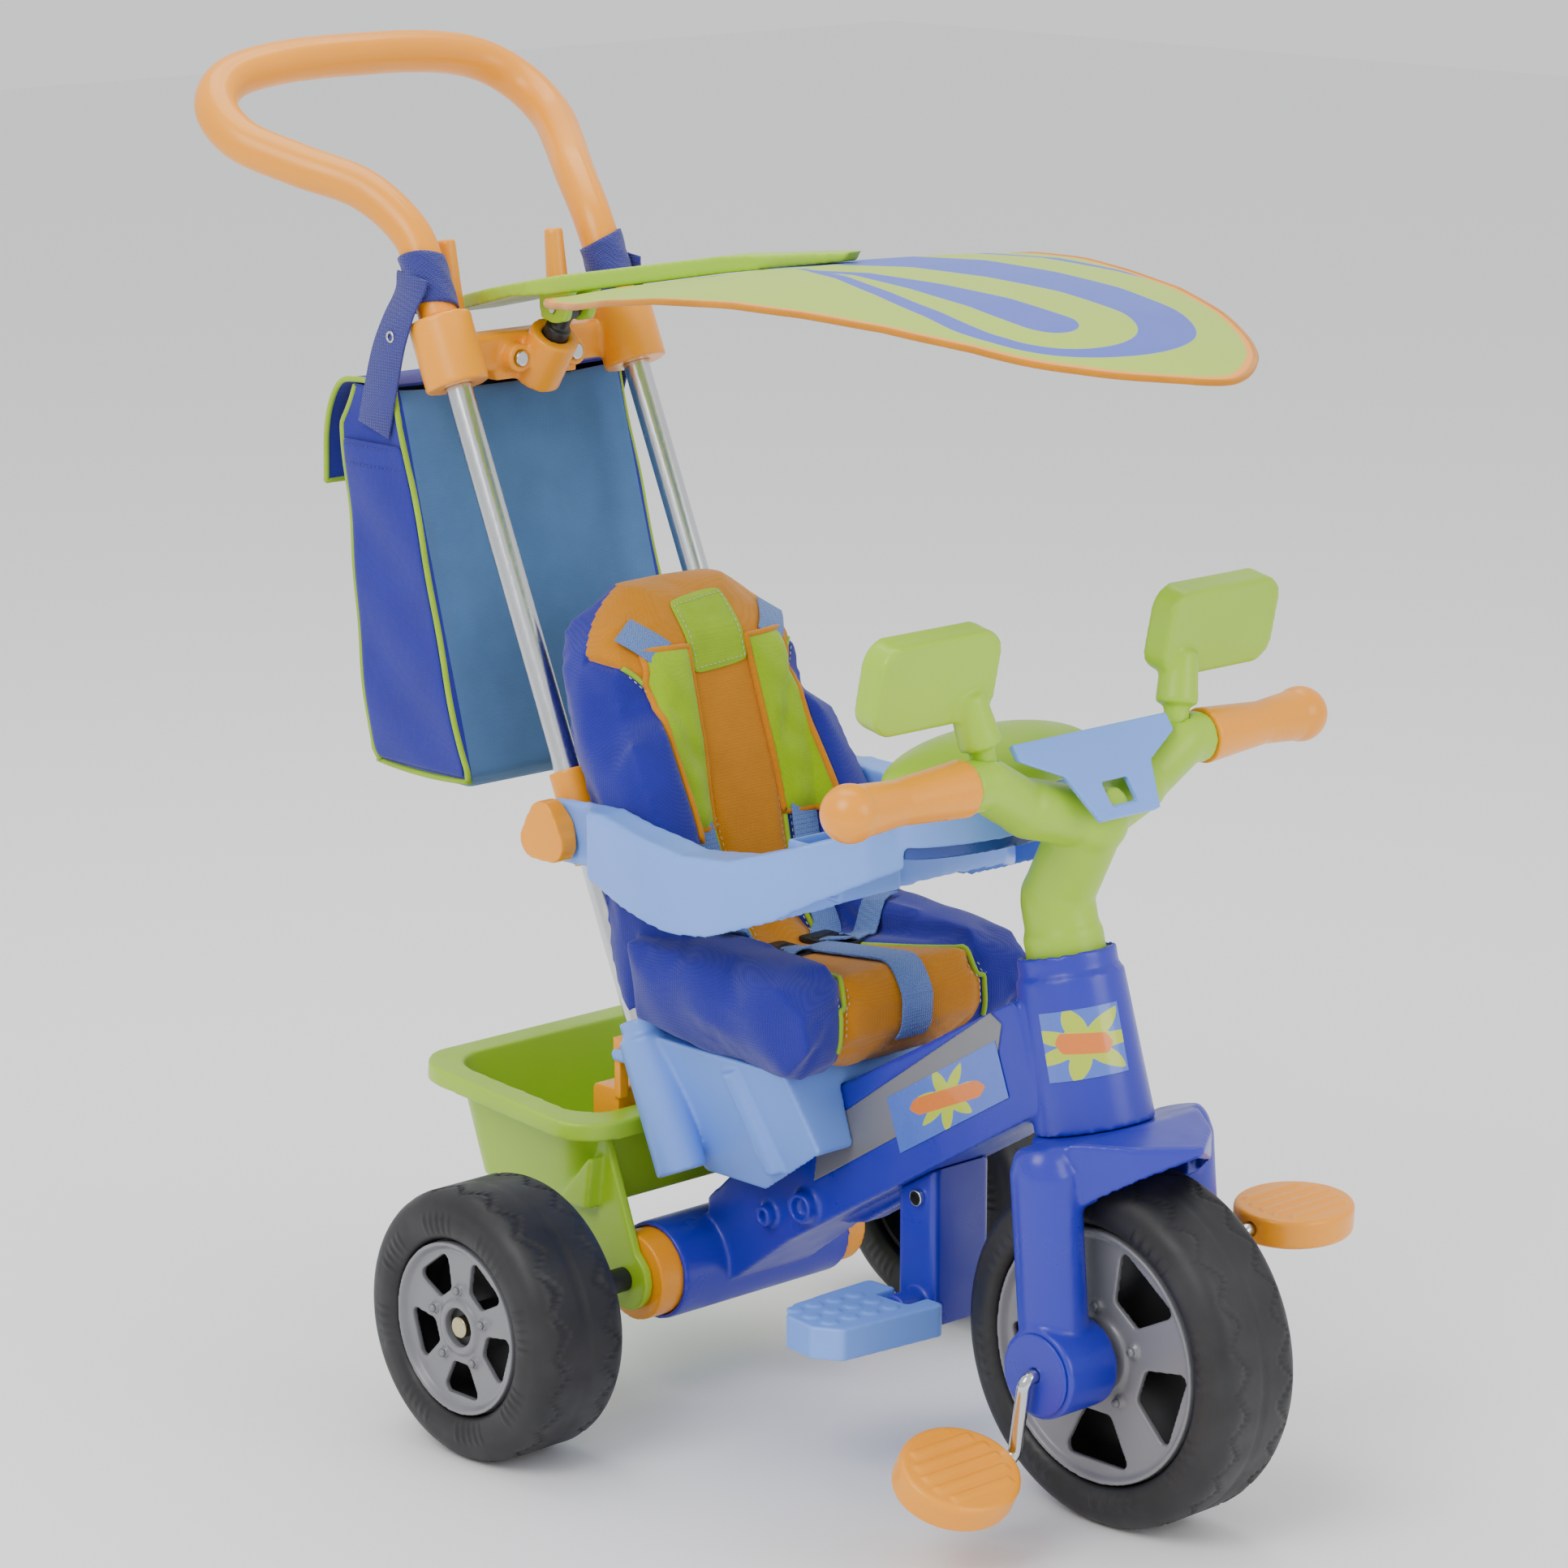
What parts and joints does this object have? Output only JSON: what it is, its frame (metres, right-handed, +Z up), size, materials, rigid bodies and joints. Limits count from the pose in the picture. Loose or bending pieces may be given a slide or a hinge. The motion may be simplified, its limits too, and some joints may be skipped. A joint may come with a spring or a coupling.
{
  "type": "children's tricycle",
  "caption": "Child's pedal tricycle with a parent push handle, sun canopy, bag, padded harness seat, safety tray with lidded bowl, fold-up footrests and a rear basket.",
  "frame": {"origin": "on the floor under the middle of the bounding box", "axes": "+X forwards, +Y to the rider's left, +Z up"},
  "size_m": [0.966, 0.552, 0.976],
  "materials": {
    "royal_blue_plastic": "satin moulded plastic",
    "light_blue_plastic": "satin moulded plastic",
    "navy_plastic": "satin moulded plastic",
    "green_plastic": "satin moulded plastic",
    "orange_plastic": "satin moulded plastic",
    "grey_plastic": "silver-grey satin plastic",
    "black_plastic": "matt moulded plastic",
    "steel": "bright plated steel",
    "brass_plate": "yellow passivated steel",
    "aluminium_tube": "brushed tube",
    "tyre_black": "semi-matt black",
    "seat_cloth": "woven cloth over padding, orange middle and blue sides",
    "pad_cloth": "woven cloth, orange binding",
    "webbing": "woven strap",
    "bag_cloth": "coated woven cloth",
    "canopy_cloth": "printed sheet"
  },
  "bodies": {
    "frame": {"main_frame": "royal_blue_plastic", "beam_inlays": "grey_plastic", "rear_axle_rod": "steel", "axle_end_caps": "brass_plate", "axle_plugs": "orange_plastic", "axle_spacers": "black_plastic", "head_bushes": "black_plastic", "footrest_post": "royal_blue_plastic", "bolts": "steel", "seat_base": "light_blue_plastic", "seat_shell": "black_plastic", "seat_cover": "seat_cloth", "push_tubes": "aluminium_tube", "push_handle": "orange_plastic", "handle_yoke": "orange_plastic", "canopy_post": "black_plastic", "tray_clamps": "orange_plastic", "rear_basket": "green_plastic", "tote_bag": "bag_cloth", "bag_straps": "bag_cloth", "shoulder_pads": "pad_cloth", "harness_webbing": "webbing", "buckles": "black_plastic"},
    "steering": {"fork": "royal_blue_plastic", "fork_bushes": "black_plastic", "fork_end_caps": "royal_blue_plastic", "steering_tube": "steel", "handlebar": "green_plastic", "grip_right": "orange_plastic", "grip_left": "orange_plastic", "mirror_right": "green_plastic", "mirror_left": "green_plastic", "handlebar_panel": "light_blue_plastic"},
    "front_wheel": {"front_tyre": "tyre_black", "front_wheel_core": "black_plastic", "front_wheel_cover_right": "grey_plastic", "front_wheel_cover_left": "grey_plastic", "crank_rod": "steel"},
    "pedal_right": {"pedal_right": "orange_plastic"},
    "pedal_left": {"pedal_left": "orange_plastic"},
    "rear_wheel_right": {"rear_tyre_right": "tyre_black", "rear_wheel_core_right": "black_plastic", "rear_wheel_cover_right": "grey_plastic"},
    "rear_wheel_left": {"rear_tyre_left": "tyre_black", "rear_wheel_core_left": "black_plastic", "rear_wheel_cover_left": "grey_plastic"},
    "tray": {"safety_tray": "light_blue_plastic", "tray_bowl": "navy_plastic"},
    "tray_lid": {"tray_lid": "green_plastic"},
    "tray_knob_right": {"tray_knob_right": "orange_plastic"},
    "tray_knob_left": {"tray_knob_left": "orange_plastic"},
    "latch_lever_right": {"latch_lever_right": "orange_plastic"},
    "latch_lever_left": {"latch_lever_left": "orange_plastic"},
    "canopy": {"canopy_bracket": "green_plastic", "canopy_pin": "steel", "canopy_sheet": "canopy_cloth"},
    "bag_flap": {"bag_flap": "bag_cloth"},
    "footrest_tread_right": {"footrest_tread_right": "light_blue_plastic"},
    "footrest_tread_left": {"footrest_tread_left": "light_blue_plastic"}
  },
  "joints": [
    {"name": "steering_turn", "type": "hinge", "parent": "frame", "child": "steering", "pos_m": [0.323, 0, 0.275], "axis": [-0.2425, 0, 0.9701], "range_deg": [-22, 22]},
    {"name": "front_wheel_spin", "type": "hinge", "parent": "steering", "child": "front_wheel", "pos_m": [0.358, 0, 0.125], "axis": [0, 1, 0], "continuous": true},
    {"name": "pedal_right_spin", "type": "hinge", "parent": "front_wheel", "child": "pedal_right", "pos_m": [0.34846, -0.16, 0.06475], "axis": [0, 1, 0], "continuous": true},
    {"name": "pedal_left_spin", "type": "hinge", "parent": "front_wheel", "child": "pedal_left", "pos_m": [0.36754, 0.16, 0.18525], "axis": [0, 1, 0], "continuous": true},
    {"name": "rear_wheel_right_spin", "type": "hinge", "parent": "frame", "child": "rear_wheel_right", "pos_m": [-0.043, -0.235, 0.1], "axis": [0, 1, 0], "continuous": true},
    {"name": "rear_wheel_left_spin", "type": "hinge", "parent": "frame", "child": "rear_wheel_left", "pos_m": [-0.043, 0.235, 0.1], "axis": [0, 1, 0], "continuous": true},
    {"name": "tray_lift", "type": "hinge", "parent": "frame", "child": "tray", "pos_m": [-0.11144, 0, 0.427], "axis": [0, -1, 0], "range_deg": [0, 60]},
    {"name": "tray_lid_open", "type": "hinge", "parent": "tray", "child": "tray_lid", "pos_m": [0.1745, 0, 0.507], "axis": [0, -1, 0], "range_deg": [0, 75]},
    {"name": "tray_knob_right_turn", "type": "hinge", "parent": "frame", "child": "tray_knob_right", "pos_m": [-0.11144, -0.121, 0.427], "axis": [0, 1, 0], "range_deg": [0, 90]},
    {"name": "tray_knob_left_turn", "type": "hinge", "parent": "frame", "child": "tray_knob_left", "pos_m": [-0.11144, 0.121, 0.427], "axis": [0, 1, 0], "range_deg": [0, 90]},
    {"name": "latch_lever_right_swing", "type": "hinge", "parent": "frame", "child": "latch_lever_right", "pos_m": [-0.07, -0.088, 0.262], "axis": [0, 1, 0], "range_deg": [0, 10]},
    {"name": "latch_lever_left_swing", "type": "hinge", "parent": "frame", "child": "latch_lever_left", "pos_m": [-0.07, 0.088, 0.262], "axis": [0, 1, 0], "range_deg": [0, 10]},
    {"name": "canopy_tilt", "type": "hinge", "parent": "frame", "child": "canopy", "pos_m": [-0.225, 0, 0.79], "axis": [0, -1, 0], "range_deg": [-10, 10]},
    {"name": "bag_flap_lift", "type": "hinge", "parent": "frame", "child": "bag_flap", "pos_m": [-0.293, 0, 0.7324], "axis": [0, 1, 0], "range_deg": [0, 25]},
    {"name": "footrest_fold_right", "type": "hinge", "parent": "frame", "child": "footrest_tread_right", "pos_m": [0.178, -0.075, 0.116], "axis": [0, 1, 0], "range_deg": [0, 80]},
    {"name": "footrest_fold_left", "type": "hinge", "parent": "frame", "child": "footrest_tread_left", "pos_m": [0.178, 0.075, 0.116], "axis": [0, 1, 0], "range_deg": [0, 80]}
  ]
}
